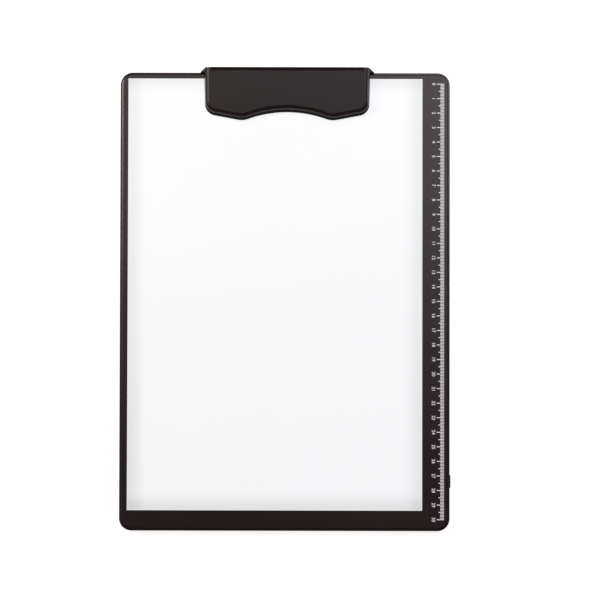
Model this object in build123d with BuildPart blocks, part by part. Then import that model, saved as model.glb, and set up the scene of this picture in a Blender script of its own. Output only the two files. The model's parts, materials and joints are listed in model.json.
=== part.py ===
"""Slim A4 light box: an edge-lit writing panel in a two-part housing, with a sprung paper clip.

The board lies flat, its writing face up (+Z), its clip end towards +Y and its scale edge towards +X.
The origin is the centre of the board's outline, on the surface that its feet rest on. Millimetres.
"""

import os
from math import cos, pi, radians, sin, sqrt, tan

from build123d import *

os.makedirs("parts", exist_ok=True)

# ---- board outline, seen from the writing side ----
window_width = 203.0  # lit writing area
window_length = 297.5
rim_left = 5.5
rim_right = 19.0  # carries the printed scale and hides the light strip
rim_top = 4.3
rim_bottom = 14.2
corner_radius = 8.5
front_edge_radius = 2.4
back_edge_radius = 1.6

# ---- layers, from the table up ----
foot_height = 1.2  # how far the feet stand out of the back
floor_thickness = 1.6
battery_gap = 3.2  # between the floor and the reflector
reflector_thickness = 0.3
guide_thickness = 2.5
diffuser_thickness = 0.3
panel_flange_thickness = 0.8
bezel_skin = 1.4

# ---- housing walls and joint ----
wall = 2.0
tongue_thickness = 0.9
tongue_height = 1.2
joint_gap = 0.1
split_rise = 0.6  # the joint line above the floor
snap_depth = 0.3
snap_length = 8.0
snap_height = 0.5

# ---- light stack ----
panel_gap = 0.08
panel_flange = 1.0
guide_overlap = 1.2  # past the window, on the three sides without lights
lit_side_overlap = 3.0
sheet_corner_radius = 2.0
led_gap = 0.2
led_length = 3.0
led_width = 1.4
led_depth = 0.7
led_pitch = 6.0
strip_thickness = 0.8
strip_height = 2.8
strip_end = 2.0  # the strip stops this far short of the guide's ends
carrier_thickness = 1.0
carrier_foot = 2.0
carrier_headroom = 0.2

# ---- ribs, feet and housing screws ----
rib_thickness = 1.2
rib_columns = 5
rib_rows = 7
stop_depth = 1.5
stop_length = 8.0
lower_stop_places = (40.0, 80.0)  # from the window's left side
foot_radius = 5.5
foot_seat = 0.8
foot_gap = 0.1
foot_inset = 22.0
foot_edge_radius = 0.5
boss_radius = 2.9
boss_rise = 2.8  # top of the back cover's bosses above its floor
bezel_boss_radius = 2.5
screw_inset = 8.0
side_screw_count = 5
bottom_screw_count = 3
bottom_screw_spacing = 58.0
screw_radius = 1.0
screw_bite = 3.0
screw_hole_gap = 0.2
thread_gap = 0.02
screw_head_radius = 2.0
screw_head_height = 1.2
screw_sink = 2.0
drive_slot = 0.5
drive_depth = 0.6
drive_reach = 1.3

# ---- battery and control board ----
battery_width = 70.0
battery_length = 110.0
battery_thickness = 2.8
battery_tape_thickness = 0.2
battery_from_window = 25.0  # in from the window's right side
battery_from_guide = 14.0  # up from the light guide's lower end
battery_side_gap = 0.6
battery_terrace = 4.0  # the sealed lip that its leads come out of
terrace_height = 1.2
board_thickness = 0.8
board_rise = 1.4  # above the floor
board_arm = 10.0
board_length_x = 82.0
board_length_y = 44.0
board_gap = 0.6
usb_width = 8.94
usb_height = 3.2
usb_depth = 7.3
usb_wall = 0.3
usb_recess = 0.5  # its mouth behind the outer face
usb_tongue_width = 6.6
usb_tongue_thickness = 0.7
usb_tongue_depth = 1.2  # behind the mouth
usb_from_right = 40.0
light_pipe_radius = 1.0
light_pipe_length = 5.0
light_pipe_recess = 0.2
light_pipe_spacing = 14.0
slot_gap = 0.2
wire_radius = 0.4
lead_spacing = 3.0

# ---- power button ----
button_from_bottom = 34.0
button_length = 9.0
button_height = 3.2
button_proud = 0.7
button_edge_radius = 0.4
button_travel = 0.6
button_flange = 0.8  # both its thickness and how far it reaches past the slot
button_gap = 0.1
switch_size = 4.4
switch_height = 3.5
plunger_radius = 0.9
plunger_root = 1.6  # how much of it is inside the switch
switch_reach = 1.4  # from the switch to the button

# ---- clip ----
clip_shift = 1.4  # its centre, right of the board's
clip_half_width = 57.4
clip_side_lean = 1.0  # how much its sides close in on the way to the lower edge
clip_side_drop = 28.9
lobe_from_side = 27.2
lobe_drop = 33.8  # below the board's top edge
arch_drop = 27.8
clip_corner_radius = 8.0
lobe_radius = 14.0
clip_overhang = 2.45  # above the board's top edge
brim = 1.4  # how far the plate shows below the cover
barrel_radius = 3.6
barrel_gap = 0.3  # between the barrel and the bracket
cover_wall = 1.4
cover_slope = 5.0  # degrees
cover_draft = 12.0  # degrees, how far its sides and front lean in
cover_edge_radius = 3.4
ridge_width = 2.4  # the finger ridge along its back edge
ridge_rise = 0.6
ridge_crest = 0.5
ridge_end = 5.0  # from the ridge's ends to the cover's sides
barrel_rear_angle = 200.0
plate_thickness = 1.4
plate_start_drop = 5.2
plate_edge_radius = 0.6
stake_from_side = (41.4, 10.4)
stake_drop = 15.0
grip_thickness = 1.5
grip_depth = 9.0
grip_inset = 0.8
paper_gap = 0.12
stake_radius = 1.4
pin_radius = 1.0
press_gap = 0.01
running_gap = 0.04
knuckle_radius = 1.9
knuckle_width = 3.0
lug_width = 3.4
lug_from_side = 17.4
lug_side_gap = 0.3
lug_front = 2.2  # how far the lug's foot reaches in front of the pin, and behind it
lug_rear = 0.3
pin_end = 0.6

# ---- clip bracket ----
bracket_flange = 1.0
bracket_flange_end = 3.9  # from its ends to the clip's sides
bracket_flange_drop = 3.8
bracket_wing = 2.5  # how much wider it is at the board's edge
bracket_gap = 0.1
bracket_edge_radius = 0.7
bracket_head_height = 0.7
leg_thickness = 1.3
leg_recess = 1.4
leg_depth = 22.0
leg_end = 1.4
leg_corner_radius = 4.0
bracket_screw_drop = 14.0
bracket_screw_from_side = 10.9
bracket_screw_count = 4
bracket_screw_bite = 2.0
pad_margin = 2.0
pad_over_screws = 0.4

# ---- torsion springs ----
spring_wire = 0.3
spring_radius = 1.5
spring_pitch = 0.66
spring_turns = 4.75
spring_arm = 9.0
spring_root = 0.7  # how deep its fixed arm stands in the bracket
spring_from_lug = 13.0

# ---- places worked out from the sizes ----
board_width = rim_left + window_width + rim_right
board_length = rim_bottom + window_length + rim_top
x_left = -board_width / 2
x_right = board_width / 2
y_bottom = -board_length / 2
y_top = board_length / 2
window_x = (x_left + rim_left, x_right - rim_right)
window_y = (y_bottom + rim_bottom, y_top - rim_top)
window_centre = (sum(window_x) / 2, sum(window_y) / 2)

z_back = foot_height
z_floor = z_back + floor_thickness
z_split = z_floor + split_rise
z_reflector = z_floor + battery_gap
z_guide = z_reflector + reflector_thickness
z_diffuser = z_guide + guide_thickness
z_panel = z_diffuser + diffuser_thickness
z_bezel_under = z_panel + panel_flange_thickness
z_front = z_bezel_under + bezel_skin

guide_x = (window_x[0] - guide_overlap, window_x[1] + lit_side_overlap)
guide_y = (window_y[0] - guide_overlap, window_y[1] + guide_overlap)
strip_y = (guide_y[0] + strip_end, guide_y[1] - strip_end)
led_x = guide_x[1] + led_gap
strip_x = led_x + led_depth
carrier_x = strip_x + strip_thickness
strip_z = z_guide + guide_thickness / 2

stop_z = (z_floor, z_guide + guide_thickness / 2)
z_boss = z_floor + boss_rise
z_screw_seat = z_back + screw_sink
band_screw_x = x_right - screw_inset
band_screw_y = y_bottom + screw_inset
side_screw_spacing = (board_length - 2 * screw_inset) / (side_screw_count - 1)
screw_points = [(band_screw_x, band_screw_y + i * side_screw_spacing) for i in range(side_screw_count)]
screw_points += [(x_left + screw_inset + i * bottom_screw_spacing, band_screw_y) for i in range(bottom_screw_count)]
corner_screw = screw_points[0]
foot_points = {
    "foot_top_left": (x_left + foot_inset, y_top - foot_inset),
    "foot_top_right": (x_right - foot_inset, y_top - foot_inset),
    "foot_bottom_left": (x_left + foot_inset, y_bottom + foot_inset),
    "foot_bottom_right": (x_right - foot_inset, y_bottom + foot_inset),
}

battery_x = (window_x[1] - battery_from_window - battery_width, window_x[1] - battery_from_window)
battery_y = (guide_y[0] + battery_from_guide, guide_y[0] + battery_from_guide + battery_length)
battery_z = (z_floor + battery_tape_thickness, z_floor + battery_tape_thickness + battery_thickness)

z_board = z_floor + board_rise
z_board_top = z_board + board_thickness
board_x1 = x_right - wall - board_gap
board_y0 = y_bottom + wall + board_gap
board_arm_x = carrier_x + carrier_thickness + carrier_foot + joint_gap
usb_centre = (x_right - usb_from_right, z_board_top + usb_height / 2)
pipe_centre = (usb_centre[0] - light_pipe_spacing, usb_centre[1])
button_centre = (y_bottom + button_from_bottom, z_board_top + switch_height / 2)

hinge_y = y_top + clip_overhang - barrel_radius
hinge_rise = bracket_flange + barrel_gap + barrel_radius
z_hinge = z_front + hinge_rise
z_grip = z_front + paper_gap
z_plate = z_grip + grip_thickness
z_plate_top = z_plate + plate_thickness
lobe_half_spacing = clip_half_width - lobe_from_side
stake_x = [clip_half_width - from_side for from_side in stake_from_side]
lug_centre = clip_half_width - lug_from_side
spring_centre = lug_centre - spring_from_lug
bracket_flange_half = clip_half_width - bracket_flange_end
leg_half_width = clip_half_width - leg_end
bracket_screw_spacing = 2 * (clip_half_width - bracket_screw_from_side) / (bracket_screw_count - 1)
bracket_screw_points = [
    (clip_shift + (i - (bracket_screw_count - 1) / 2) * bracket_screw_spacing, y_top - bracket_screw_drop)
    for i in range(bracket_screw_count)
]
z_leg = z_back + leg_recess - leg_thickness
z_bracket_screw_tip = z_back + leg_recess + bracket_screw_bite
z_pad = z_bracket_screw_tip + pad_over_screws


def write_out(builder, name):
    """Labels a finished piece and writes its STEP file."""
    builder.part.label = name
    export_step(builder.part, f"parts/{name}.step")


def box_between(x, y, z, mode=Mode.ADD):
    """A box from its low and high limits along each axis."""
    with Locations(((x[0] + x[1]) / 2, (y[0] + y[1]) / 2, (z[0] + z[1]) / 2)):
        Box(x[1] - x[0], y[1] - y[0], z[1] - z[0], mode=mode)


def post(x, y, z, radius, mode=Mode.ADD):
    """An upright cylinder between two heights."""
    with Locations((x, y, (z[0] + z[1]) / 2)):
        Cylinder(radius, z[1] - z[0], mode=mode)


def drive_cross(x, y, z, depth):
    """The cross that a screwdriver turns, cut up into a screw's head."""
    for half_x, half_y in ((drive_reach, drive_slot / 2), (drive_slot / 2, drive_reach)):
        box_between((x - half_x, x + half_x), (y - half_y, y + half_y), (z, z + depth), Mode.SUBTRACT)


def board_outline(inset, mode=Mode.ADD):
    """The board's outline, drawn in from its edge."""
    RectangleRounded(board_width - 2 * inset, board_length - 2 * inset, corner_radius - inset, mode=mode)


def light_sheet(z, thickness, name):
    """A flat sheet of the light stack."""
    with BuildPart() as sheet:
        box_between(guide_x, guide_y, (z, z + thickness))
        fillet(sheet.edges().filter_by(Axis.Z), sheet_corner_radius)
    write_out(sheet, name)


def snap_points():
    """Centres of the snap beads: along the left side, and each side of the clip at the top."""
    left = [("x", y_bottom + board_length * share) for share in (0.2, 0.4, 0.6, 0.8)]
    top = [("y", x_left + board_width * share) for share in (0.13, 0.87)]
    return left + top


def snap_bead(side, along, depth, length, height, z, mode=Mode.ADD):
    """A bead on the tongue's outer face, or the pocket that it clicks into."""
    face = wall - tongue_thickness
    if side == "x":
        x = (x_left + face - depth, x_left + face + joint_gap)
        y = (along - length / 2, along + length / 2)
    else:
        x = (along - length / 2, along + length / 2)
        y = (y_top - face - joint_gap, y_top - face + depth)
    box_between(x, y, (z - height / 2, z + height / 2), mode)


# ---- housing ----
snap_z = z_split + tongue_height * 0.55

with BuildPart() as back_cover:
    with BuildSketch(Plane.XY.offset(z_back)):
        board_outline(0)
    extrude(amount=z_split - z_back)
    fillet(back_cover.faces().sort_by(Axis.Z)[0].edges(), back_edge_radius)
    with BuildSketch(Plane.XY.offset(z_floor)):
        board_outline(wall)
    extrude(amount=z_split - z_floor, mode=Mode.SUBTRACT)
    with BuildSketch(Plane.XY.offset(z_split)):
        board_outline(wall - tongue_thickness)
        board_outline(wall, Mode.SUBTRACT)
    extrude(amount=tongue_height)
    for side, along in snap_points():
        snap_bead(side, along, snap_depth, snap_length, snap_height, snap_z)
    # ribs that carry the light stack, left out over the battery bay
    for i in range(rib_columns):
        x = guide_x[0] + (guide_x[1] - guide_x[0]) * (i + 0.5) / rib_columns
        box_between((x - rib_thickness / 2, x + rib_thickness / 2), guide_y, (z_floor, z_reflector))
    for i in range(rib_rows):
        y = guide_y[0] + (guide_y[1] - guide_y[0]) * (i + 0.5) / rib_rows
        box_between(guide_x, (y - rib_thickness / 2, y + rib_thickness / 2), (z_floor, z_reflector))
    bay_x = (battery_x[0] - battery_side_gap, battery_x[1] + battery_side_gap)
    bay_y = (guide_y[0] - joint_gap, battery_y[1] + battery_side_gap)
    box_between(bay_x, bay_y, (z_floor, z_reflector + 1), Mode.SUBTRACT)
    for x in (bay_x[0] - rib_thickness, bay_x[1]):
        box_between((x, x + rib_thickness), (battery_y[0], battery_y[1]), (z_floor, z_reflector))
    # stops that keep the light stack in its place sideways
    lower_stops = [("-y", window_x[0] + from_corner) for from_corner in lower_stop_places]
    for side, along in snap_points() + lower_stops:
        if side == "x":
            stop_x = (x_left + wall + joint_gap, guide_x[0] - joint_gap)
            box_between(stop_x, (along - stop_length / 2, along + stop_length / 2), stop_z)
        elif side == "y":
            stop_y = (guide_y[1] + joint_gap, y_top - wall - joint_gap)
            box_between((along - stop_length / 2, along + stop_length / 2), stop_y, stop_z)
        else:
            stop_y = guide_y[0] - joint_gap
            box_between((along - stop_length / 2, along + stop_length / 2), (stop_y - stop_depth, stop_y), stop_z)
    # thick pad behind the clip, and the recess for the bracket's leg
    box_between(
        (clip_shift - leg_half_width - pad_margin, clip_shift + leg_half_width + pad_margin),
        (y_top - leg_depth - pad_margin, y_top - wall),
        (z_floor, z_pad),
    )
    with BuildSketch(Plane.XY.offset(z_back)):
        with Locations((clip_shift, y_top - leg_depth / 2 + bracket_gap)):
            Rectangle(2 * (leg_half_width + bracket_gap), leg_depth + 4 * bracket_gap)
    extrude(amount=leg_recess, mode=Mode.SUBTRACT)
    for x, y in bracket_screw_points:
        post(x, y, (z_back, z_bracket_screw_tip), screw_radius + thread_gap, Mode.SUBTRACT)
    # screw bosses
    for x, y in screw_points:
        post(x, y, (z_back, z_boss), boss_radius)
        post(x, y, (z_back, z_screw_seat), screw_head_radius + screw_hole_gap, Mode.SUBTRACT)
        post(x, y, (z_screw_seat, z_boss), screw_radius + screw_hole_gap, Mode.SUBTRACT)
    # seats for the feet
    for x, y in foot_points.values():
        post(x, y, (z_back, z_back + foot_seat), foot_radius + foot_gap, Mode.SUBTRACT)
    # posts under the control board
    for x in (board_x1 - board_length_x + 4, board_x1 - board_length_x / 2):
        post(x, board_y0 + board_arm / 2, (z_floor, z_board), 1.6)
    post(board_x1 - 3.4, board_y0 + board_length_y - 3, (z_floor, z_board), 1.6)
write_out(back_cover, "back_cover")

with BuildPart() as front_bezel:
    with BuildSketch(Plane.XY.offset(z_split)):
        board_outline(0)
    extrude(amount=z_front - z_split)
    fillet(front_bezel.faces().sort_by(Axis.Z)[-1].edges(), front_edge_radius)
    with BuildSketch(Plane.XY.offset(z_split)):
        board_outline(wall)
    extrude(amount=z_bezel_under - z_split, mode=Mode.SUBTRACT)
    with BuildSketch(Plane.XY.offset(z_split)):
        board_outline(wall - tongue_thickness - joint_gap)
    extrude(amount=tongue_height + joint_gap, mode=Mode.SUBTRACT)
    with BuildSketch(Plane.XY.offset(z_bezel_under)):
        with Locations(window_centre):
            Rectangle(window_width, window_length)
    extrude(amount=bezel_skin, mode=Mode.SUBTRACT)
    pocket = (snap_depth + joint_gap, snap_length + 4 * joint_gap, snap_height + joint_gap)
    for side, along in snap_points():
        snap_bead(side, along, *pocket, snap_z, Mode.SUBTRACT)
    for x, y in screw_points:
        post(x, y, (z_boss, z_bezel_under), bezel_boss_radius)
        post(x, y, (z_boss, z_boss + screw_bite + joint_gap), screw_radius + thread_gap, Mode.SUBTRACT)
    # slot of the charging socket and hole of the light pipe, in the bottom wall
    with BuildSketch(Plane.XZ.offset(-y_bottom)):
        with Locations(usb_centre):
            SlotOverall(usb_width + 2 * slot_gap, usb_height + 2 * slot_gap)
        with Locations(pipe_centre):
            Circle(light_pipe_radius + panel_gap)
    extrude(amount=-wall, mode=Mode.SUBTRACT)
    # slot of the power button, in the right wall
    with BuildSketch(Plane.YZ.offset(x_right)):
        with Locations(button_centre):
            SlotOverall(button_length + 2 * button_gap, button_height + 2 * button_gap)
    extrude(amount=-wall, mode=Mode.SUBTRACT)
write_out(front_bezel, "front_bezel")

with BuildPart() as writing_panel:
    with BuildSketch(Plane.XY.offset(z_panel)):
        with Locations(window_centre):
            Rectangle(window_width + 2 * panel_flange, window_length + 2 * panel_flange)
    extrude(amount=panel_flange_thickness)
    with BuildSketch(Plane.XY.offset(z_bezel_under)):
        with Locations(window_centre):
            Rectangle(window_width - 2 * panel_gap, window_length - 2 * panel_gap)
    extrude(amount=bezel_skin)
write_out(writing_panel, "writing_panel")

for name, (x, y) in foot_points.items():
    with BuildPart() as foot:
        post(x, y, (0, z_back + foot_seat), foot_radius)
        fillet(foot.faces().sort_by(Axis.Z)[0].edges(), foot_edge_radius)
    write_out(foot, name)

with BuildPart() as housing_screws:
    for x, y in screw_points:
        post(x, y, (z_screw_seat - screw_head_height, z_screw_seat), screw_head_radius)
        post(x, y, (z_screw_seat, z_boss + screw_bite), screw_radius)
        drive_cross(x, y, z_screw_seat - screw_head_height, drive_depth)
write_out(housing_screws, "housing_screws")

# ---- light engine ----
light_sheet(z_reflector, reflector_thickness, "reflector_sheet")
light_sheet(z_guide, guide_thickness, "light_guide")
light_sheet(z_diffuser, diffuser_thickness, "diffuser_sheet")

with BuildPart() as led_strip_board:
    box_between((strip_x, carrier_x), strip_y, (strip_z - strip_height / 2, strip_z + strip_height / 2))
write_out(led_strip_board, "led_strip_board")

led_count = int((strip_y[1] - strip_y[0] - led_length) / led_pitch) + 1
led_first = sum(strip_y) / 2 - (led_count - 1) * led_pitch / 2
with BuildPart() as strip_leds:
    for i in range(led_count):
        y = led_first + i * led_pitch
        box_between(
            (led_x, led_x + led_depth),
            (y - led_length / 2, y + led_length / 2),
            (strip_z - led_width / 2, strip_z + led_width / 2),
        )
write_out(strip_leds, "strip_leds")

carrier_back_x = carrier_x + carrier_thickness
with BuildPart() as strip_carrier:
    box_between((carrier_x, carrier_back_x), strip_y, (z_floor, z_bezel_under - carrier_headroom))
    box_between((carrier_x, carrier_back_x + carrier_foot), strip_y, (z_floor, z_floor + carrier_thickness))
write_out(strip_carrier, "strip_carrier")

# ---- battery and control board ----
with BuildPart() as battery_cell:
    box_between(battery_x, (battery_y[0] + battery_terrace, battery_y[1]), battery_z)
    fillet(battery_cell.edges().filter_by(Axis.Y), 1.0)
    box_between(
        (battery_x[0] + battery_terrace, battery_x[1] - battery_terrace),
        (battery_y[0], battery_y[0] + battery_terrace + 1),
        (battery_z[0], battery_z[0] + terrace_height),
    )
write_out(battery_cell, "battery_cell")

with BuildPart() as control_board:
    with BuildSketch(Plane.XY.offset(z_board)):
        with BuildLine():
            Polyline(
                (board_x1 - board_length_x, board_y0),
                (board_x1, board_y0),
                (board_x1, board_y0 + board_length_y),
                (board_arm_x, board_y0 + board_length_y),
                (board_arm_x, board_y0 + board_arm),
                (board_x1 - board_length_x, board_y0 + board_arm),
                close=True,
            )
        make_face()
    extrude(amount=board_thickness)
    upright_edges = control_board.edges().filter_by(Axis.Z)
    fillet(upright_edges.sort_by_distance((board_x1, board_y0, z_board))[0], corner_radius - wall)
    post(*corner_screw, (z_board, z_board_top), boss_radius + joint_gap * 3, Mode.SUBTRACT)
write_out(control_board, "control_board")

with BuildPart() as battery_tape:
    box_between(
        (battery_x[0] + 6, battery_x[1] - 6),
        (battery_y[0] + battery_terrace + 6, battery_y[1] - 6),
        (z_floor, z_floor + battery_tape_thickness),
    )
write_out(battery_tape, "battery_tape")


def wire(points, bend):
    """A short round wire through some points, its corners bent to a radius."""
    with BuildPart() as run:
        with BuildLine() as route:
            FilletPolyline(*points, radius=bend)
        with BuildSketch(Plane(origin=route.line @ 0, z_dir=route.line % 0)):
            Circle(wire_radius)
        sweep()
    return run.part


terrace_top = battery_z[0] + terrace_height
lead_y = (battery_y[0] + battery_terrace / 2, board_y0 + board_arm - 2)
lead_z = (terrace_top + wire_radius, z_board_top + wire_radius)
lead_x = battery_x[1] - battery_terrace - 6
lead_drop = [(lead_y[0], lead_z[0]), (lead_y[0] - 4, lead_z[0]), (lead_y[1] + 4, lead_z[1]), (lead_y[1], lead_z[1])]
battery_wires = [wire([(x, y, z) for y, z in lead_drop], 2.0) for x in (lead_x - lead_spacing, lead_x)]
with BuildPart() as battery_leads:
    add(battery_wires)
write_out(battery_leads, "battery_leads")

strip_wires = []
for i in range(2):
    z = strip_z + (i - 0.5) * 1.4
    x = strip_x - wire_radius
    y = board_y0 + board_arm - 1.0 - i * 1.5
    strip_wires.append(wire([(x, strip_y[0] + 1.4, z), (x, y, z), (x, y, z_board_top)], 0.8))
with BuildPart() as strip_leads:
    add(strip_wires)
write_out(strip_leads, "strip_leads")

with BuildPart() as usb_socket:
    with BuildSketch(Plane.XZ.offset(-(y_bottom + usb_recess))):
        with Locations(usb_centre):
            SlotOverall(usb_width, usb_height)
    extrude(amount=-usb_depth)
    with BuildSketch(Plane.XZ.offset(-(y_bottom + usb_recess))):
        with Locations(usb_centre):
            SlotOverall(usb_width - 2 * usb_wall, usb_height - 2 * usb_wall)
    extrude(amount=-(usb_depth - usb_wall), mode=Mode.SUBTRACT)
    # the tongue that carries the contacts
    box_between(
        (usb_centre[0] - usb_tongue_width / 2, usb_centre[0] + usb_tongue_width / 2),
        (y_bottom + usb_recess + usb_tongue_depth, y_bottom + usb_recess + usb_depth),
        (usb_centre[1] - usb_tongue_thickness / 2, usb_centre[1] + usb_tongue_thickness / 2),
    )
write_out(usb_socket, "usb_socket")

pipe_y = (y_bottom + light_pipe_recess, y_bottom + light_pipe_recess + light_pipe_length)
with BuildPart() as charge_light_pipe:
    with BuildSketch(Plane.XZ.offset(-pipe_y[0])):
        with Locations(pipe_centre):
            Circle(light_pipe_radius)
    extrude(amount=-light_pipe_length)
    # its foot on the control board
    box_between(
        (pipe_centre[0] - light_pipe_radius, pipe_centre[0] + light_pipe_radius),
        (pipe_y[1] - 1.5, pipe_y[1]),
        (z_board_top, pipe_centre[1]),
    )
write_out(charge_light_pipe, "charge_light_pipe")

switch_face = x_right - wall - joint_gap - button_flange - switch_reach
switch_z = (z_board_top, z_board_top + switch_height)
with BuildPart() as side_switch:
    box_between(
        (switch_face - switch_size, switch_face),
        (button_centre[0] - switch_size / 2, button_centre[0] + switch_size / 2),
        switch_z,
    )
    with BuildSketch(Plane.YZ.offset(switch_face)):
        with Locations(button_centre):
            Circle(plunger_radius + running_gap)
    extrude(amount=-(plunger_root + button_travel + joint_gap), mode=Mode.SUBTRACT)
write_out(side_switch, "side_switch")

with BuildPart() as switch_plunger:
    with BuildSketch(Plane.YZ.offset(switch_face - plunger_root)):
        with Locations(button_centre):
            Circle(plunger_radius)
    extrude(amount=plunger_root + switch_reach)
write_out(switch_plunger, "switch_plunger")

with BuildPart() as power_button:
    with BuildSketch(Plane.YZ.offset(x_right - wall - joint_gap)):
        with Locations(button_centre):
            SlotOverall(button_length, button_height)
    extrude(amount=wall + joint_gap + button_proud)
    fillet(power_button.faces().sort_by(Axis.X)[-1].edges(), button_edge_radius)
    with BuildSketch(Plane.YZ.offset(x_right - wall - joint_gap)):
        with Locations(button_centre):
            Rectangle(button_length + 2 * button_flange + 2 * button_gap, button_height)
    extrude(amount=-button_flange)
write_out(power_button, "power_button")

# chips and connectors: centre across, centre up from the board's edge, then width, length and height
component_boxes = [
    (pipe_centre[0] - 18.0, 5.0, 5.0, 5.0, 1.0),
    (pipe_centre[0] - 10.0, 5.0, 4.0, 6.0, 1.6),
    (pipe_centre[0] - 4.0, 4.0, 2.0, 1.2, 0.6),
    (usb_centre[0] + 11.0, 7.5, 1.6, 3.0, 1.2),
    (usb_centre[0] + 18.0, 5.0, 6.0, 6.0, 2.4),
    (board_x1 - 5.6, 24.0, 4.0, 4.0, 0.9),
    (board_x1 - 5.6, 39.0, 3.0, 2.0, 1.4),
]
with BuildPart() as board_components:
    for x, along, width, length, height in component_boxes:
        with Locations((x, board_y0 + along, z_board_top + height / 2)):
            Box(width, length, height)
write_out(board_components, "board_components")


# ---- clip ----
def clip_face(lift=0.0, inset=0.0, corner=clip_corner_radius, overrun=0.0):
    """The clip seen from above: straight sides, a finger lobe at each side, and the arch between them."""
    tip = clip_half_width - clip_side_lean - inset
    top = y_top + clip_overhang - inset + overrun
    lobe = y_top - lobe_drop + lift + inset
    side = y_top - clip_side_drop + lift + inset
    with BuildSketch() as face:
        with BuildLine():
            Polyline(
                (clip_shift + lobe_half_spacing, lobe),
                (clip_shift + tip, side),
                (clip_shift + clip_half_width - inset, top),
                (clip_shift - clip_half_width + inset, top),
                (clip_shift - tip, side),
                (clip_shift - lobe_half_spacing, lobe),
            )
            ThreePointArc(
                (clip_shift - lobe_half_spacing, lobe),
                (clip_shift, y_top - arch_drop + lift + inset),
                (clip_shift + lobe_half_spacing, lobe),
            )
        make_face()
        if corner > 0:
            fillet(face.vertices().sort_by(Axis.Y)[2:4], corner - inset)
        fillet(face.vertices().sort_by(Axis.Y)[0:2], lobe_radius - inset)
    return face.sketch


def slab_top(radius, y):
    """Height of the cover's sloping face, or of its underside for a smaller radius."""
    slope = radians(cover_slope)
    return z_hinge + radius / cos(slope) - (hinge_y - y) * tan(slope)


def hinge_eye(foot):
    """Side view of a hinge leaf: an eye around the pin, running into a foot given by its corners."""
    with BuildSketch() as leaf:
        with BuildLine():
            Polyline((hinge_y, z_hinge), (hinge_y - knuckle_radius, z_hinge), *foot, close=True)
        make_face()
        with Locations((hinge_y, z_hinge)):
            Circle(knuckle_radius)
    return leaf.sketch


def across_clip(x, width):
    """The two ends of a piece that lies across the clip."""
    return (clip_shift + x - width / 2, clip_shift + x + width / 2)


stake_points = [(clip_shift + x, y_top - stake_drop) for x in (-stake_x[1], -stake_x[0], *stake_x)]
far_y = hinge_y - lobe_drop
slope_angle = radians(cover_slope)
rear_y = hinge_y + barrel_radius
cover_height = slab_top(barrel_radius, rear_y) - z_plate_top
with BuildPart() as clip_cover:
    # side view: a sloping slab, square at the back above the pin
    with BuildSketch(Plane.YZ.offset(clip_shift - clip_half_width - 1)):
        with BuildLine():
            Polyline(
                (far_y, slab_top(barrel_radius, far_y)),
                (far_y, z_plate_top),
                (rear_y, z_plate_top),
                (rear_y, slab_top(barrel_radius, rear_y)),
                close=True,
            )
        make_face()
    extrude(amount=2 * (clip_half_width + 1))
    with BuildSketch(Plane.XY.offset(z_plate_top)):
        add(clip_face(lift=brim, overrun=cover_height))
    extrude(amount=2 * cover_height, taper=cover_draft, mode=Mode.INTERSECT)
    top_face = clip_cover.faces().filter_by(GeomType.PLANE).sort_by(Axis.Z)[-1]
    ridge = top_face.edges().sort_by(Axis.Y)[-1]
    fillet([edge for edge in top_face.edges() if edge != ridge], cover_edge_radius)
    # the finger ridge: a hollow curve rising out of the slab to a narrow crest
    ridge_start = (rear_y - ridge_width, slab_top(barrel_radius, rear_y - ridge_width))
    ridge_top = slab_top(barrel_radius, rear_y) + ridge_rise
    ridge_half = clip_half_width - ridge_end
    with BuildSketch(Plane.YZ.offset(clip_shift - ridge_half)):
        with BuildLine():
            TangentArc(
                ridge_start,
                (rear_y - ridge_crest, ridge_top),
                tangent=(cos(slope_angle), sin(slope_angle)),
            )
            Polyline(
                (rear_y - ridge_crest, ridge_top),
                (rear_y, ridge_top),
                (rear_y, z_hinge + barrel_radius - cover_wall / 2),
                (ridge_start[0], z_hinge + barrel_radius - cover_wall / 2),
                ridge_start,
            )
        make_face()
    extrude(amount=2 * ridge_half)
    # round off the back below the pin, so that it clears the bracket as it turns
    with BuildSketch(Plane.YZ.offset(clip_shift - clip_half_width - 1)):
        with Locations((hinge_y + barrel_radius, z_hinge - barrel_radius)):
            Rectangle(2 * barrel_radius, 2 * barrel_radius)
        with Locations((hinge_y, z_hinge)):
            Circle(barrel_radius, mode=Mode.SUBTRACT)
    extrude(amount=2 * (clip_half_width + 1), mode=Mode.SUBTRACT)
    # the hollow, open below and behind the pin
    rear_end = radians(barrel_rear_angle - 180)
    inner_radius = barrel_radius - cover_wall
    with BuildPart(mode=Mode.PRIVATE) as hollow:
        with BuildSketch(Plane.YZ.offset(clip_shift - clip_half_width)):
            with BuildLine():
                Polyline(
                    (hinge_y, slab_top(inner_radius, hinge_y)),
                    (far_y, slab_top(inner_radius, far_y)),
                    (far_y, z_plate),
                    (rear_y + 1, z_plate),
                    (rear_y + 1, z_hinge - (barrel_radius + 1) * tan(rear_end)),
                    (hinge_y, z_hinge),
                    close=True,
                )
            make_face()
            with Locations((hinge_y, z_hinge)):
                Circle(inner_radius)
        extrude(amount=2 * clip_half_width)
        with BuildSketch(Plane.XY.offset(z_plate_top)):
            add(clip_face(lift=brim, inset=cover_wall, overrun=cover_height))
        extrude(amount=2 * cover_height, taper=cover_draft, mode=Mode.INTERSECT)
    add(hollow.part, mode=Mode.SUBTRACT)
    for x, y in stake_points:
        post(x, y, (z_plate, slab_top(inner_radius, y) + cover_wall / 2), stake_radius)
write_out(clip_cover, "clip_cover")

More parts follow.
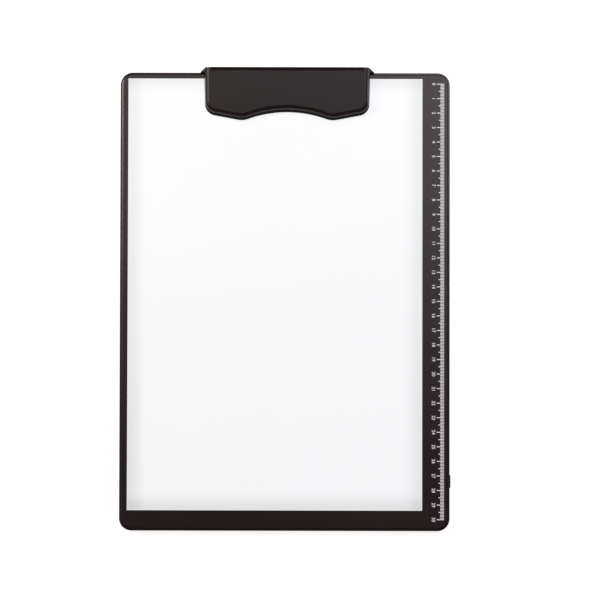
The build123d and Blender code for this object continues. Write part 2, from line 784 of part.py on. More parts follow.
with BuildPart() as clip_plate:
    with BuildSketch(Plane.XY.offset(z_plate)):
        add(clip_face())
        with Locations((clip_shift, y_top - plate_start_drop + board_length / 2)):
            Rectangle(2 * board_width, board_length, mode=Mode.SUBTRACT)
    extrude(amount=plate_thickness)
    flat_faces = clip_plate.faces().filter_by(Axis.Z)
    fillet([edge for face in flat_faces for edge in face.edges()], plate_edge_radius)
    for x, y in stake_points:
        post(x, y, (z_plate, z_plate_top), stake_radius + press_gap, Mode.SUBTRACT)
    plate_start = y_top - plate_start_drop
    eye = hinge_eye(
        [
            (plate_start - 1, z_plate_top),
            (plate_start - 1, z_plate),
            (hinge_y, z_hinge - knuckle_radius),
        ]
    )
    for side in (-1, 1):
        for end in (-1, 1):
            x = side * lug_centre + end * (lug_width / 2 + lug_side_gap + knuckle_width / 2)
            with BuildSketch(Plane.YZ.offset(across_clip(x, knuckle_width)[0])):
                add(eye)
            extrude(amount=knuckle_width)
            with BuildSketch(Plane.YZ.offset(across_clip(x, knuckle_width)[0])):
                with Locations((hinge_y, z_hinge)):
                    Circle(pin_radius + running_gap)
            extrude(amount=knuckle_width, mode=Mode.SUBTRACT)
write_out(clip_plate, "clip_plate")

with BuildPart() as jaw_grip:
    with BuildSketch(Plane.XY.offset(z_grip)):
        add(clip_face(inset=grip_inset))
        add(clip_face(lift=grip_depth + 1, inset=-1, corner=0), mode=Mode.SUBTRACT)
    extrude(amount=grip_thickness)
write_out(jaw_grip, "jaw_grip")

pin_half = lug_centre + lug_width / 2 + lug_side_gap + knuckle_width + pin_end
with BuildPart() as hinge_pin:
    with BuildSketch(Plane.YZ.offset(clip_shift - pin_half)):
        with Locations((hinge_y, z_hinge)):
            Circle(pin_radius)
    extrude(amount=2 * pin_half)
    fillet(hinge_pin.edges(), pin_radius * 0.3)
write_out(hinge_pin, "hinge_pin")

spring_length = spring_turns * spring_pitch
z_flange_top = z_front + bracket_flange
start_x = clip_shift + spring_centre + spring_length / 2
coil_plane = Plane(origin=(0, 0, 0), x_dir=(0, -1, 0), z_dir=(-1, 0, 0))
coil = coil_plane * Helix(spring_pitch, spring_length, spring_radius)
spring_lean = spring_pitch / (2 * pi * spring_radius)  # its wire leans over as it winds
foot_length = (z_hinge - z_flange_top + spring_root) * sqrt(1 + spring_lean**2)
# one spring with its coil around the X axis, starting at the origin
with BuildPart() as spring:
    with BuildSketch(Plane(origin=coil @ 0, z_dir=coil % 0)):
        Circle(spring_wire)
    sweep(path=coil, is_frenet=True)
    # its arms run on in line with the wire: one stands in the bracket, the other presses on the plate
    with BuildSketch(Plane(origin=coil @ 0, z_dir=-(coil % 0))):
        Circle(spring_wire)
    extrude(amount=foot_length)
    with BuildSketch(Plane(origin=coil @ 1, z_dir=coil % 1)):
        Circle(spring_wire)
    extrude(amount=spring_arm)
with BuildPart() as clip_spring_right:
    with Locations((start_x, hinge_y, z_hinge)):
        add(spring.part)
write_out(clip_spring_right, "clip_spring_right")

with BuildPart() as clip_spring_left:
    add(clip_spring_right.part)
    mirror(about=Plane.YZ.offset(clip_shift), mode=Mode.REPLACE)
write_out(clip_spring_left, "clip_spring_left")

# ---- clip bracket ----
bracket_y = (y_top + bracket_gap, y_top + clip_overhang)
with BuildPart() as clip_bracket:
    # flange on the front, wall behind the top edge, leg on the back
    flange_y = (y_top - bracket_flange_drop, bracket_y[1])
    box_between(across_clip(0, 2 * bracket_flange_half), flange_y, (z_front, z_flange_top))
    with BuildSketch(Plane.XY.offset(z_leg)):
        with BuildLine():
            Polyline(
                (clip_shift - clip_half_width, bracket_y[1]),
                (clip_shift - clip_half_width - bracket_wing, bracket_y[0]),
                (clip_shift + clip_half_width + bracket_wing, bracket_y[0]),
                (clip_shift + clip_half_width, bracket_y[1]),
                close=True,
            )
        make_face()
    extrude(amount=z_flange_top - z_leg)
    leg_y = (y_top - leg_depth, bracket_y[1])
    box_between(across_clip(0, 2 * leg_half_width), leg_y, (z_leg, z_leg + leg_thickness))
    leg_corners = clip_bracket.edges().filter_by(Axis.Z).sort_by(Axis.Y)[:2]
    fillet(leg_corners, leg_corner_radius)
    rear_edges = clip_bracket.faces().sort_by(Axis.Y)[-1].edges().filter_by(Axis.X)
    fillet(rear_edges, bracket_edge_radius)
    lug = hinge_eye([(hinge_y - lug_front, z_flange_top), (hinge_y + lug_rear, z_flange_top)])
    for x in (-lug_centre, lug_centre):
        with BuildSketch(Plane.YZ.offset(across_clip(x, lug_width)[0])):
            add(lug)
        extrude(amount=lug_width)
        with BuildSketch(Plane.YZ.offset(across_clip(x, lug_width)[0])):
            with Locations((hinge_y, z_hinge)):
                Circle(pin_radius + press_gap)
        extrude(amount=lug_width, mode=Mode.SUBTRACT)
    foot_shift = spring_lean * (z_hinge - z_flange_top + spring_root / 2)
    for x in (-1, 1):
        foot_x = spring_centre + spring_length / 2 + foot_shift
        post(
            clip_shift + x * foot_x,
            hinge_y - spring_radius,
            (z_flange_top - spring_root - joint_gap, z_flange_top),
            spring_wire + joint_gap,
            Mode.SUBTRACT,
        )
    for x, y in bracket_screw_points:
        z_seat = z_leg + joint_gap + bracket_head_height
        post(x, y, (z_leg, z_seat), screw_head_radius + screw_hole_gap, Mode.SUBTRACT)
        post(x, y, (z_leg, z_leg + leg_thickness), screw_radius + screw_hole_gap, Mode.SUBTRACT)
write_out(clip_bracket, "clip_bracket")

with BuildPart() as bracket_screws:
    for x, y in bracket_screw_points:
        head = z_leg + joint_gap
        post(x, y, (head, head + bracket_head_height), screw_head_radius)
        post(x, y, (head, z_bracket_screw_tip - joint_gap), screw_radius)
        drive_cross(x, y, head, bracket_head_height / 2)
write_out(bracket_screws, "bracket_screws")
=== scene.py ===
import json
import math
import bmesh
import bpy
from mathutils import Matrix, Vector


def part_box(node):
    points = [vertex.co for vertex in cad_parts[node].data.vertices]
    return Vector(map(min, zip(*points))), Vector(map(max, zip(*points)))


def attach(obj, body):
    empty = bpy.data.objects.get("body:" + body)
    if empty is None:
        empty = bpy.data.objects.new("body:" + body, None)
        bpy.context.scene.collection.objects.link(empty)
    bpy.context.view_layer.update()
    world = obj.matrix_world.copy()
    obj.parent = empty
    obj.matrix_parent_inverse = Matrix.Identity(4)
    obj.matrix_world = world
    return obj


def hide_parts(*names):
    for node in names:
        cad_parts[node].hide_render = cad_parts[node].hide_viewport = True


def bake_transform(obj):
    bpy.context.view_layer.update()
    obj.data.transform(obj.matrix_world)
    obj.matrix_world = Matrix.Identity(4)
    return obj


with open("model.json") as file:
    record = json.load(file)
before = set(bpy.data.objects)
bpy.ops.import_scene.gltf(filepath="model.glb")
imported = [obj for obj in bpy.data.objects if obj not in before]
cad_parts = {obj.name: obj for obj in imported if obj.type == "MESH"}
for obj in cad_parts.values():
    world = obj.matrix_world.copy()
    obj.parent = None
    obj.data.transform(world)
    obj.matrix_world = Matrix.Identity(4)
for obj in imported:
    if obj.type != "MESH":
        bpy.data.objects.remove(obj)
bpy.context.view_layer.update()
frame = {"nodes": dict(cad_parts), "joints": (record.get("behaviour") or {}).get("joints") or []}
mm = 0.001

# places that the pieces below are measured from
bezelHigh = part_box("front_bezel")[1]
panelLow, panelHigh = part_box("writing_panel")
hinge = next(joint for joint in frame["joints"] if joint["name"] == "clip_hinge")
hingeSpot = Vector(hinge["pos_m"])
print("frame loaded:", len(frame["nodes"]), "nodes")


def finishPiece(bm, name, body, material):
    mesh = bpy.data.meshes.new(name)
    bm.to_mesh(mesh)
    bm.free()
    piece = bpy.data.objects.new(name, mesh)
    bpy.context.scene.collection.objects.link(piece)
    piece.data.materials.append(material)
    if body:
        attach(piece, body)
    return piece


# shader helpers
def newGroup(name, inputs, outputs):
    group = bpy.data.node_groups.new(name, "ShaderNodeTree")
    for label, kind in outputs:
        group.interface.new_socket(name=label, in_out="OUTPUT", socket_type=kind)
    for label, kind, value in inputs:
        socket = group.interface.new_socket(name=label, in_out="INPUT", socket_type=kind)
        if value is not None:
            socket.default_value = value
    return group


def addNode(tree, kind, links=None, **settings):
    # links: an input's name or number, and the socket or value that it gets
    node = tree.nodes.new(kind)
    for key, value in settings.items():
        setattr(node, key, value)
    for key, value in (links or {}).items():
        socket = node.inputs[key]
        if isinstance(value, bpy.types.NodeSocket):
            tree.links.new(value, socket)
        else:
            socket.default_value = value
    return node


def reckon(tree, operation, *values):
    links = dict(enumerate(values))
    return addNode(tree, "ShaderNodeMath", links, operation=operation).outputs[0]


def spread(tree, value, span, low=0.0, high=1.0, curve="LINEAR"):
    # the values of a span carried over to low and high
    links = {"Value": value, 1: span[0], 2: span[1], 3: low, 4: high}
    return addNode(tree, "ShaderNodeMapRange", links, interpolation_type=curve).outputs[0]


noiseSpan = (0.3, 0.7)  # where nearly all values of a noise lie


def buildMouldedGrain():
    # fine spark-eroded grain with a slow change of sheen over it
    group = newGroup(
        "mouldedGrain",
        [
            ("Vector", "NodeSocketVector", None),
            ("Grain Size", "NodeSocketFloat", 0.4 * mm),
            ("Grain Depth", "NodeSocketFloat", 0.01 * mm),
            ("Patch Size", "NodeSocketFloat", 30 * mm),
            ("Smooth", "NodeSocketFloat", 0.3),
            ("Rough", "NodeSocketFloat", 0.45),
        ],
        [
            ("Tone", "NodeSocketFloat"),
            ("Roughness", "NodeSocketFloat"),
            ("Normal", "NodeSocketVector"),
        ],
    )
    source = group.nodes.new("NodeGroupInput").outputs
    grain = addNode(
        group,
        "ShaderNodeTexNoise",
        {
            "Vector": source["Vector"],
            "Scale": reckon(group, "DIVIDE", 1.0, source["Grain Size"]),
            "Detail": 2.0,
        },
    ).outputs["Fac"]
    patch = addNode(
        group,
        "ShaderNodeTexNoise",
        {
            "Vector": source["Vector"],
            "Scale": reckon(group, "DIVIDE", 1.0, source["Patch Size"]),
            "Detail": 1.0,
            "Roughness": 0.4,
        },
    ).outputs["Fac"]
    bump = addNode(
        group,
        "ShaderNodeBump",
        {"Strength": 1.0, "Distance": source["Grain Depth"], "Height": grain},
    )
    sheen = spread(group, patch, noiseSpan, source["Smooth"], source["Rough"])
    both = reckon(group, "ADD", patch, grain)
    bothSpan = (0.7, 1.3)  # narrower than twice one noise's, as the two seldom peak together
    result = group.nodes.new("NodeGroupOutput").inputs
    group.links.new(spread(group, both, bothSpan), result["Tone"])
    group.links.new(sheen, result["Roughness"])
    group.links.new(bump.outputs[0], result["Normal"])
    return group


def buildBrushedMetal():
    # drawn or ground metal: fine lines along one axis
    group = newGroup(
        "brushedMetal",
        [
            ("Vector", "NodeSocketVector", None),
            ("Stretch", "NodeSocketVector", (1.0, 1.0, 1.0)),
            ("Line Size", "NodeSocketFloat", 0.3 * mm),
            ("Depth", "NodeSocketFloat", 0.003 * mm),
            ("Smooth", "NodeSocketFloat", 0.2),
            ("Rough", "NodeSocketFloat", 0.4),
        ],
        [
            ("Tone", "NodeSocketFloat"),
            ("Roughness", "NodeSocketFloat"),
            ("Normal", "NodeSocketVector"),
        ],
    )
    source = group.nodes.new("NodeGroupInput").outputs
    stretched = addNode(
        group,
        "ShaderNodeVectorMath",
        {0: source["Vector"], 1: source["Stretch"]},
        operation="MULTIPLY",
    )
    lines = addNode(
        group,
        "ShaderNodeTexNoise",
        {
            "Vector": stretched.outputs[0],
            "Scale": reckon(group, "DIVIDE", 1.0, source["Line Size"]),
            "Detail": 3.0,
            "Roughness": 0.6,
        },
    ).outputs["Fac"]
    bump = addNode(
        group,
        "ShaderNodeBump",
        {"Strength": 1.0, "Distance": source["Depth"], "Height": lines},
    )
    sheen = spread(group, lines, noiseSpan, source["Smooth"], source["Rough"])
    result = group.nodes.new("NodeGroupOutput").inputs
    group.links.new(lines, result["Tone"])
    group.links.new(sheen, result["Roughness"])
    group.links.new(bump.outputs[0], result["Normal"])
    return group


mouldedGrain = buildMouldedGrain()
brushedMetal = buildBrushedMetal()


def newMaterial(name, metallic=0.0, specular=0.5, coat=0.0, coatRoughness=0.1):
    material = bpy.data.materials.new(name)
    material.use_nodes = True
    tree = material.node_tree
    shader = tree.nodes["Principled BSDF"]
    shader.inputs["Metallic"].default_value = metallic
    shader.inputs["Specular IOR Level"].default_value = specular
    shader.inputs["Coat Weight"].default_value = coat
    shader.inputs["Coat Roughness"].default_value = coatRoughness
    place = tree.nodes.new("ShaderNodeTexCoord").outputs["Object"]
    return material, tree, shader, place


def placeFinish(tree, shader, place, group, settings):
    # one finish group, and its roughness and bump on the shader
    finish = addNode(tree, "ShaderNodeGroup", node_tree=group)
    tree.links.new(place, finish.inputs["Vector"])
    for label, value in settings.items():
        finish.inputs[label].default_value = value
    tree.links.new(finish.outputs["Roughness"], shader.inputs["Roughness"])
    tree.links.new(finish.outputs["Normal"], shader.inputs["Normal"])
    return finish


def mixColors(tree, shader, mask, colors):
    links = {"Factor": mask, "A": (*colors[0], 1.0), "B": (*colors[1], 1.0)}
    mix = addNode(tree, "ShaderNodeMix", links, data_type="RGBA")
    tree.links.new(mix.outputs["Result"], shader.inputs["Base Color"])


def plastic(name, colors, size, depth, smooth, rough, patch=30 * mm, **shaderValues):
    # two near colours, how large and deep the grain is, and the least and most roughness
    material, tree, shader, place = newMaterial(name, **shaderValues)
    settings = {
        "Grain Size": size,
        "Grain Depth": depth,
        "Patch Size": patch,
        "Smooth": smooth,
        "Rough": rough,
    }
    finish = placeFinish(tree, shader, place, mouldedGrain, settings)
    mixColors(tree, shader, finish.outputs["Tone"], colors)
    return material


def metal(name, colors, stretch, size, depth, smooth, rough):
    # as plastic(), but with lines, which run along the axis whose stretch is smallest
    material, tree, shader, place = newMaterial(name, metallic=1.0)
    settings = {
        "Stretch": stretch,
        "Line Size": size,
        "Depth": depth,
        "Smooth": smooth,
        "Rough": rough,
    }
    finish = placeFinish(tree, shader, place, brushedMetal, settings)
    mixColors(tree, shader, finish.outputs["Tone"], colors)
    return material


finishes = {
    "housing": plastic(
        "housingPlastic",
        [(0.0098, 0.0046, 0.005), (0.0128, 0.0064, 0.0069)],
        size=0.5 * mm, depth=0.004 * mm, smooth=0.28, rough=0.3, patch=60 * mm,
    ),
    "clip": plastic(
        "clipPlastic",
        [(0.0092, 0.0044, 0.0044), (0.0122, 0.0062, 0.0062)],
        size=0.5 * mm, depth=0.004 * mm, smooth=0.28, rough=0.3, patch=50 * mm,
    ),
    "button": plastic(
        "buttonPlastic",
        [(0.02, 0.018, 0.02), (0.027, 0.024, 0.027)],
        size=0.4 * mm, depth=0.008 * mm, smooth=0.4, rough=0.5,
    ),
    "clipSteel": plastic(
        "clipPaint",
        [(0.0075, 0.0058, 0.006), (0.011, 0.0085, 0.009)],
        size=0.9 * mm, depth=0.01 * mm, smooth=0.28, rough=0.38, specular=0.45,
    ),
    "clipPlate": plastic(
        "clipPlatePaint",
        [(0.006, 0.0045, 0.0045), (0.009, 0.007, 0.007)],
        size=0.9 * mm, depth=0.01 * mm, smooth=0.4, rough=0.5, specular=0.12,
    ),
    "foot": plastic(
        "footRubber",
        [(0.022, 0.021, 0.022), (0.034, 0.032, 0.033)],
        size=0.7 * mm, depth=0.03 * mm, smooth=0.65, rough=0.8,
    ),
    "grip": plastic(
        "gripRubber",
        [(0.026, 0.023, 0.024), (0.036, 0.033, 0.034)],
        size=0.7 * mm, depth=0.03 * mm, smooth=0.6, rough=0.75,
    ),
    "diffuser": plastic(
        "diffuserFilm",
        [(0.8, 0.81, 0.82), (0.86, 0.87, 0.88)],
        size=0.6 * mm, depth=0.008 * mm, smooth=0.6, rough=0.75,
    ),
    "reflector": plastic(
        "reflectorFilm",
        [(0.84, 0.84, 0.83), (0.9, 0.9, 0.89)],
        size=0.6 * mm, depth=0.005 * mm, smooth=0.5, rough=0.65,
    ),
    "guide": plastic(
        "guideAcrylic",
        [(0.72, 0.78, 0.8), (0.78, 0.84, 0.86)],
        size=2 * mm, depth=0.004 * mm, smooth=0.08, rough=0.16, coat=0.6,
    ),
    "pipe": plastic(
        "pipeAcrylic",
        [(0.62, 0.68, 0.7), (0.7, 0.76, 0.78)],
        size=1 * mm, depth=0.002 * mm, smooth=0.08, rough=0.16, coat=0.6,
    ),
    "package": plastic(
        "ledPackage",
        [(0.78, 0.62, 0.18), (0.86, 0.72, 0.26)],
        size=0.6 * mm, depth=0.004 * mm, smooth=0.25, rough=0.4,
    ),
    "circuit": plastic(
        "circuitLacquer",
        [(0.008, 0.09, 0.035), (0.014, 0.13, 0.05)],
        size=1.2 * mm, depth=0.01 * mm, smooth=0.25, rough=0.4,
    ),
    "component": plastic(
        "componentResin",
        [(0.014, 0.014, 0.016), (0.024, 0.024, 0.027)],
        size=0.4 * mm, depth=0.01 * mm, smooth=0.4, rough=0.55,
    ),
    "plunger": plastic(
        "plungerNylon",
        [(0.68, 0.67, 0.63), (0.74, 0.73, 0.7)],
        size=0.4 * mm, depth=0.006 * mm, smooth=0.4, rough=0.55,
    ),
    "tape": plastic(
        "foamTape",
        [(0.62, 0.6, 0.55), (0.72, 0.7, 0.66)],
        size=0.9 * mm, depth=0.04 * mm, smooth=0.8, rough=0.95,
    ),
    "wire": plastic(
        "wireSleeve",
        [(0.36, 0.012, 0.01), (0.44, 0.02, 0.016)],
        size=0.8 * mm, depth=0.006 * mm, smooth=0.35, rough=0.5,
    ),
    "print": plastic(
        "printedInk",
        [(0.85, 0.84, 0.92), (0.91, 0.9, 0.97)],
        size=0.8 * mm, depth=0.002 * mm, smooth=0.5, rough=0.6,
    ),
    "pin": metal(
        "pinSteel",
        [(0.42, 0.42, 0.43), (0.6, 0.6, 0.61)],
        stretch=(0.05, 1, 1), size=0.3 * mm, depth=0.003 * mm, smooth=0.28, rough=0.38,
    ),
    "spring": metal(
        "springWire",
        [(0.32, 0.31, 0.31), (0.5, 0.49, 0.48)],
        stretch=(1, 1, 1), size=0.4 * mm, depth=0.003 * mm, smooth=0.28, rough=0.38,
    ),
    "screw": metal(
        "screwSteel",
        [(0.05, 0.05, 0.053), (0.1, 0.1, 0.105)],
        stretch=(1, 1, 1), size=0.4 * mm, depth=0.004 * mm, smooth=0.3, rough=0.45,
    ),
    "carrier": metal(
        "carrierAluminium",
        [(0.6, 0.61, 0.62), (0.74, 0.75, 0.76)],
        stretch=(1, 0.04, 1), size=0.3 * mm, depth=0.004 * mm, smooth=0.3, rough=0.45,
    ),
    "socket": metal(
        "socketShell",
        [(0.5, 0.5, 0.5), (0.66, 0.66, 0.65)],
        stretch=(1, 0.1, 1), size=0.3 * mm, depth=0.002 * mm, smooth=0.28, rough=0.36,
    ),
    "cell": metal(
        "cellPouch",
        [(0.45, 0.46, 0.47), (0.6, 0.61, 0.62)],
        stretch=(1, 1, 1), size=4 * mm, depth=0.06 * mm, smooth=0.3, rough=0.45,
    ),
}

panelLook = {
    "centre": (0.955, 0.965, 0.982),
    "glow": 0.905,  # share of the light that comes from inside
    "skin": 0.12,  # share of its colour that shows in the room's light
    "underLip": 1.0 * mm,  # the stretch of panel that the frame's lip covers
    "edgeLine": 1.5 * mm,  # the fully lit line along the lip
    # side: how far in its shade reaches, and how deep the shade is at the side's two ends
    "left": (15 * mm, 0.17, 0.09),
    "right": (15 * mm, 0.13, 0.11),
    "top": (12 * mm, 0.1, 0.1),
    "bottom": (15 * mm, 0.16, 0.16),
    "fade": (300 * mm, 0.06),  # how far up from the lower edge it fades, and by how much
    "cloudScale": 9.0,
    "cloudDepth": 0.008,
    "grain": {
        "Grain Size": 0.4 * mm,
        "Grain Depth": 0.003 * mm,
        "Smooth": 0.5,
        "Rough": 0.6,
    },
}


def buildPanelMaterial():
    material, tree, shader, place = newMaterial("litPanel", specular=0.25)
    split = addNode(tree, "ShaderNodeSeparateXYZ", {0: place}).outputs
    ends = {"X": (panelLow.x, panelHigh.x), "Y": (panelLow.y, panelHigh.y)}
    # side: the axis across it, where it is, which way is inward, and the axis along it
    sides = {
        "left": ("X", panelLow.x, 1, "Y"),
        "right": ("X", panelHigh.x, -1, "Y"),
        "bottom": ("Y", panelLow.y, 1, "X"),
        "top": ("Y", panelHigh.y, -1, "X"),
    }
    shades = []
    distances = []
    for side, (across, edge, inward, along) in sides.items():
        reach, lowDepth, highDepth = panelLook[side]
        deepest = spread(tree, split[along], ends[along], 1.0 - lowDepth, 1.0 - highDepth)
        start = -(edge * inward + panelLook["underLip"])
        distance = reckon(tree, "MULTIPLY_ADD", split[across], float(inward), start)
        shades.append(spread(tree, distance, (0.0, reach), deepest, 1.0, "SMOOTHERSTEP"))
        distances.append(distance)
    light, nearest = shades[0], distances[0]
    for shade, distance in zip(shades[1:], distances[1:]):
        light = reckon(tree, "MULTIPLY", light, shade)
        nearest = reckon(tree, "MINIMUM", nearest, distance)
    line = spread(tree, nearest, (0.0, panelLook["edgeLine"]), 1.0, 0.0, "SMOOTHSTEP")
    lit = reckon(tree, "MAXIMUM", light, line)
    fadeReach, fadeDepth = panelLook["fade"]
    fadeSpan = (panelLow.y, panelLow.y + fadeReach)
    fade = spread(tree, split["Y"], fadeSpan, 1.0 - fadeDepth, 1.0, "SMOOTHSTEP")
    clouds = addNode(
        tree,
        "ShaderNodeTexNoise",
        {"Vector": place, "Scale": panelLook["cloudScale"], "Detail": 2.0},
    )
    soft = spread(tree, clouds.outputs["Fac"], noiseSpan, 1.0 - panelLook["cloudDepth"], 1.0)
    level = reckon(tree, "MULTIPLY", reckon(tree, "MULTIPLY", lit, fade), soft)
    glow = addNode(
        tree,
        "ShaderNodeVectorMath",
        {0: panelLook["centre"], "Scale": level},
        operation="SCALE",
    )
    tree.links.new(glow.outputs[0], shader.inputs["Emission Color"])
    shader.inputs["Emission Strength"].default_value = panelLook["glow"]
    # the base colour is the glow scaled down, so the glow's edge shade and fade are painted into
    # the surface colour as well
    skin = addNode(
        tree,
        "ShaderNodeVectorMath",
        {0: glow.outputs[0], "Scale": panelLook["skin"]},
        operation="SCALE",
    )
    tree.links.new(skin.outputs[0], shader.inputs["Base Color"])
    placeFinish(tree, shader, place, mouldedGrain, panelLook["grain"])
    return material


finishes["panel"] = buildPanelMaterial()

nodeFinish = {
    "housing": ["front_bezel", "back_cover"],
    "clip": ["clip_cover"],
    "button": ["power_button"],
    "clipSteel": ["clip_bracket"],
    "clipPlate": ["clip_plate"],
    "foot": ["foot_bottom_left", "foot_bottom_right", "foot_top_left", "foot_top_right"],
    "grip": ["jaw_grip"],
    "panel": ["writing_panel"],
    "diffuser": ["diffuser_sheet"],
    "reflector": ["reflector_sheet"],
    "guide": ["light_guide"],
    "pipe": ["charge_light_pipe"],
    "package": ["strip_leds"],
    "circuit": ["control_board", "led_strip_board"],
    "component": ["board_components", "side_switch"],
    "plunger": ["switch_plunger"],
    "tape": ["battery_tape"],
    "wire": ["battery_leads", "strip_leads"],
    "pin": ["hinge_pin"],
    "spring": ["clip_spring_left", "clip_spring_right"],
    "screw": ["housing_screws", "bracket_screws"],
    "carrier": ["strip_carrier"],
    "socket": ["usb_socket"],
    "cell": ["battery_cell"],
}
for finishName, nodeNames in nodeFinish.items():
    for nodeName in nodeNames:
        materials = frame["nodes"][nodeName].data.materials
        materials.clear()
        materials.append(finishes[finishName])
print("materials made:", len(finishes))

# the centimetre scale printed along the right band
scaleLook = {
    "length": 300,  # millimetres
    "fromTop": 7.85 * mm,
    "fromRight": 4.0 * mm,  # the line that all the ticks start from
    "tickWidth": 0.56 * mm,
    # every so many millimetres: the tick's length, the rarest ticks first
    "tickLengths": {10: 5.0 * mm, 5: 3.8 * mm, 1: 2.6 * mm},
    "inkThickness": 0.03 * mm,
    "numberEvery": 10,  # millimetres
    "digitHeight": 2.3 * mm,
    "digitMiddle": 11.2 * mm,  # from the right edge
    "digitBoldness": 0.03 * mm,
}


def addBox(bm, low, high):
    size = Vector(high) - Vector(low)
    middle = (Vector(high) + Vector(low)) / 2
    place = Matrix.Translation(middle) @ Matrix.Diagonal((*size, 1.0))
    bmesh.ops.create_cube(bm, size=1.0, matrix=place)


def buildScaleTicks():
    bm = bmesh.new()
    right = bezelHigh.x - scaleLook["fromRight"]
    half = scaleLook["tickWidth"] / 2
    ink = scaleLook["inkThickness"]
    ticks = scaleLook["tickLengths"].items()
    for step in range(scaleLook["length"] + 1):
        length = next(length for unit, length in ticks if step % unit == 0)
        y = bezelHigh.y - scaleLook["fromTop"] - step * mm
        low = (right - length, y - half, bezelHigh.z - ink)
        high = (right, y + half, bezelHigh.z + ink)
        addBox(bm, low, high)
    finishPiece(bm, "scaleTicks", "board", finishes["print"])


def textMesh(words, height, thickness, boldness):
    # flat lettering as a mesh, centred on the origin
    figureShare = 0.7  # a figure's height as a share of the lettering's size
    text = bpy.data.curves.new("lettering", "FONT")
    text.body = words
    text.size = height / figureShare
    text.resolution_u = 3
    text.extrude = thickness
    text.offset = boldness
    holder = bpy.data.objects.new("lettering", text)
    bpy.context.scene.collection.objects.link(holder)
    depsgraph = bpy.context.evaluated_depsgraph_get()
    mesh = bpy.data.meshes.new_from_object(holder.evaluated_get(depsgraph))
    bpy.data.objects.remove(holder)
    bpy.data.curves.remove(text)
    across = [vert.co.x for vert in mesh.vertices]
    up = [vert.co.y for vert in mesh.vertices]
    middle = ((min(across) + max(across)) / 2, (min(up) + max(up)) / 2, 0)
    mesh.transform(Matrix.Translation(-Vector(middle)))
    return mesh


def buildScaleDigits():
    bm = bmesh.new()
    turn = Matrix.Rotation(-math.pi / 2, 4, "Z")
    x = bezelHigh.x - scaleLook["digitMiddle"]
    for number in range(scaleLook["length"] // scaleLook["numberEvery"] + 1):
        mesh = textMesh(
            str(number),
            scaleLook["digitHeight"],
            scaleLook["inkThickness"],
            scaleLook["digitBoldness"],
        )
        y = bezelHigh.y - scaleLook["fromTop"] - number * scaleLook["numberEvery"] * mm
        mesh.transform(Matrix.Translation((x, y, bezelHigh.z)) @ turn)
        bm.from_mesh(mesh)
        bpy.data.meshes.remove(mesh)
    finishPiece(bm, "scaleDigits", "board", finishes["print"])


buildScaleTicks()
buildScaleDigits()
print("scale printed")

springLook = {
    "wireRadius": 0.3 * mm,
    "coilRadius": 1.5 * mm,  # to the wire's middle
    "turns": 4.75,
    "pitch": 0.66 * mm,
    "stepsPerTurn": 20,
    "wireSides": 12,
    "stillEnds": 2,  # wire radii at each end of the coil that don't twist
}


def pick(geom, kind):
    return [item for item in geom if isinstance(item, kind)]


def buildSpring(name, node):
    low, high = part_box(node)
    outward = 1 if low.x > hingeSpot.x else -1
    wire = springLook["wireRadius"]
    coil = springLook["coilRadius"]
    # sideways step of the wire for each step along it
    lean = springLook["pitch"] / (2 * math.pi * coil)
    footX = (high.x if outward > 0 else low.x) - outward * wire
    startX = footX - outward * lean * (hingeSpot.z - low.z)
    endX = startX - outward * springLook["turns"] * springLook["pitch"]

    # the leg up from the bracket
    bm = bmesh.new()
    foot = Vector((footX, hingeSpot.y - coil, low.z))
    bmesh.ops.create_circle(
        bm,
        cap_ends=True,
        segments=springLook["wireSides"],
        radius=wire,
        matrix=Matrix.Translation(foot),
    )
    leg = bmesh.ops.extrude_edge_only(bm, edges=bm.edges[:])["geom"]
    rise = (startX - footX, 0, hingeSpot.z - low.z)
    bmesh.ops.translate(bm, verts=pick(leg, bmesh.types.BMVert), vec=rise)

    # the coil round the hinge pin
    steps = round(springLook["turns"] * springLook["stepsPerTurn"])
    spun = bmesh.ops.spin(
        bm,
        geom=pick(leg, bmesh.types.BMEdge),
        cent=hingeSpot,
        axis=(-1, 0, 0),
        dvec=((endX - startX) / steps, 0, 0),
        angle=springLook["turns"] * 2 * math.pi,
        steps=steps,
        use_duplicate=False,
    )["geom_last"]

    # the arm under the clip's plate
    last = pick(spun, bmesh.types.BMEdge)
    arm = bmesh.ops.extrude_edge_only(bm, edges=last)["geom"]
    reach = low.y - hingeSpot.y
    tip = pick(arm, bmesh.types.BMVert)
    bmesh.ops.translate(bm, verts=tip, vec=(outward * lean * reach, reach, 0))
    bmesh.ops.contextual_create(bm, geom=pick(arm, bmesh.types.BMEdge))

    bmesh.ops.remove_doubles(bm, verts=bm.verts, dist=0.001 * mm)
    bmesh.ops.recalc_face_normals(bm, faces=bm.faces)
    for face in bm.faces:
        face.smooth = len(face.verts) == 4  # the two end caps stay flat
    piece = finishPiece(bm, name, None, finishes["spring"])
    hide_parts(node)
    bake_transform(piece)


buildSpring("springLeft", "clip_spring_left")
buildSpring("springRight", "clip_spring_right")
print("springs wound")

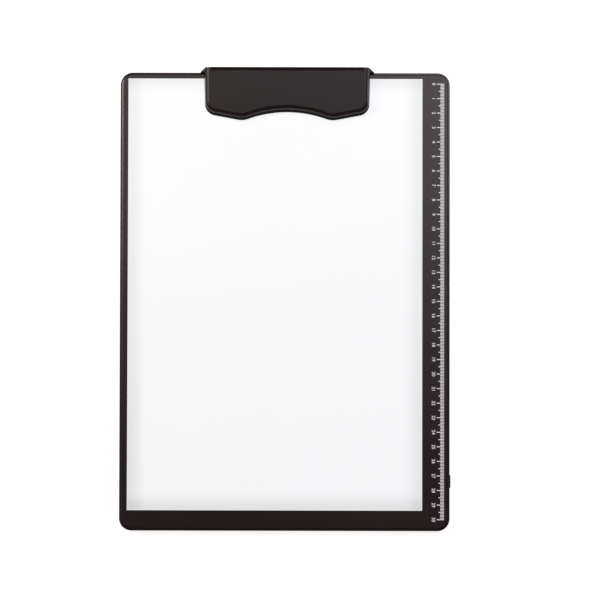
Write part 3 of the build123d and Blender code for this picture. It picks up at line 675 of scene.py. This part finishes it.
# studio: a pale floor, soft lights, and a camera almost straight above
studio = {
    "floorSize": 6.0,
    "floorColor": (0.34, 0.335, 0.33),
    "floorMottle": 1.01,  # how much paler its paler patches are
    "floorRoughness": 0.9,
    "floorLight": 0.9,  # what the camera sees of it besides
    "floorTint": (1.0, 0.99, 0.98),
    "worldLight": 0.08,  # what reaches the object from all round
    "backdrop": 0.93,  # how pale the camera sees it
    # name: place, what it faces, size, watts, colour
    "lights": {
        "ceiling": (
            (0.55, 0.85, 1.8), (0.55, 0.85, 0.0), (2.2, 1.5), 12.2, (1.0, 0.96, 0.97)
        ),
        "ceilingRight": (
            (0.65, 0.6, 1.75), (0.65, 0.6, 0.0), (0.9, 0.8), 4.2, (0.96, 0.93, 1.0)
        ),
        "topBox": ((0.68, 1.6, 0.14), (0.0, 0.0, 0.0), (1.3, 0.26), 10.0, (1.0, 1.0, 1.0)),
        "rightBox": ((1.6, 0.72, 0.14), (0.0, 0.0, 0.0), (1.0, 0.26), 12.0, (1.0, 1.0, 1.0)),
        "leftBox": ((-1.15, 0.5, 1.1), (0.0, 0.3, 0.0), (0.5, 1.1), 21.0, (1.0, 0.87, 0.81)),
    },
    "cameraDistance": 1.3,
    "viewWidth": 0.4132,  # metres across the view, at the writing face
    "viewCentre": (0.0105, 0.0009),
    "tilt": 1.2,  # degrees from straight above, the camera towards the lower edge
    "roll": 0.13,
}


def buildFloor():
    bm = bmesh.new()
    bmesh.ops.create_grid(bm, x_segments=1, y_segments=1, size=studio["floorSize"])
    mesh = bpy.data.meshes.new("floor")
    bm.to_mesh(mesh)
    bm.free()
    floor = bpy.data.objects.new("floor", mesh)
    bpy.context.scene.collection.objects.link(floor)
    material, tree, shader, place = newMaterial("floorPaint", specular=0.2)
    noise = addNode(tree, "ShaderNodeTexNoise", {"Vector": place, "Scale": 3.0, "Detail": 2.0})
    paler = [channel * studio["floorMottle"] for channel in studio["floorColor"]]
    mixColors(tree, shader, noise.outputs["Fac"], [studio["floorColor"], paler])
    shader.inputs["Roughness"].default_value = studio["floorRoughness"]
    # the camera sees the floor brighter than the object does, so it reads as plain white ground
    seen = addNode(tree, "ShaderNodeLightPath").outputs["Is Camera Ray"]
    bright = reckon(tree, "MULTIPLY", seen, studio["floorLight"])
    tree.links.new(bright, shader.inputs["Emission Strength"])
    shader.inputs["Emission Color"].default_value = (*studio["floorTint"], 1.0)
    floor.data.materials.append(material)


def buildLights():
    for name, (place, aim, size, watts, color) in studio["lights"].items():
        lamp = bpy.data.lights.new(name, "AREA")
        lamp.shape = "RECTANGLE"
        lamp.size, lamp.size_y = size
        lamp.energy = watts
        lamp.color = color
        holder = bpy.data.objects.new(name, lamp)
        holder.location = place
        facing = Vector(aim) - Vector(place)
        holder.rotation_euler = facing.to_track_quat("-Z", "Y").to_euler()
        bpy.context.scene.collection.objects.link(holder)


def buildWorld():
    # a dim room, with a pale backdrop that only the camera sees
    world = bpy.data.worlds.new("studioWorld")
    world.use_nodes = True
    tree = world.node_tree
    background = tree.nodes["Background"].inputs
    seen = addNode(tree, "ShaderNodeLightPath").outputs["Is Camera Ray"]
    level = spread(tree, seen, (0.0, 1.0), studio["worldLight"], studio["backdrop"])
    tree.links.new(level, background["Strength"])
    background["Color"].default_value = (1.0, 1.0, 1.0, 1.0)
    bpy.context.scene.world = world


def buildCamera():
    lens = bpy.data.cameras.new("camera")
    lens.sensor_width = 36.0
    lens.lens = lens.sensor_width * studio["cameraDistance"] / studio["viewWidth"]
    lens.clip_end = 20.0
    camera = bpy.data.objects.new("camera", lens)
    tilt = math.radians(studio["tilt"])
    look = Vector((*studio["viewCentre"], bezelHigh.z))
    back = Vector((0.0, -math.sin(tilt), math.cos(tilt)))
    camera.location = look + back * studio["cameraDistance"]
    roll = Matrix.Rotation(math.radians(studio["roll"]), 4, "Z")
    camera.rotation_euler = (Matrix.Rotation(tilt, 4, "X") @ roll).to_euler()
    bpy.context.scene.collection.objects.link(camera)
    bpy.context.scene.camera = camera


buildFloor()
buildLights()
buildWorld()
buildCamera()
bpy.context.scene.view_settings.view_transform = "Standard"
print("studio set")
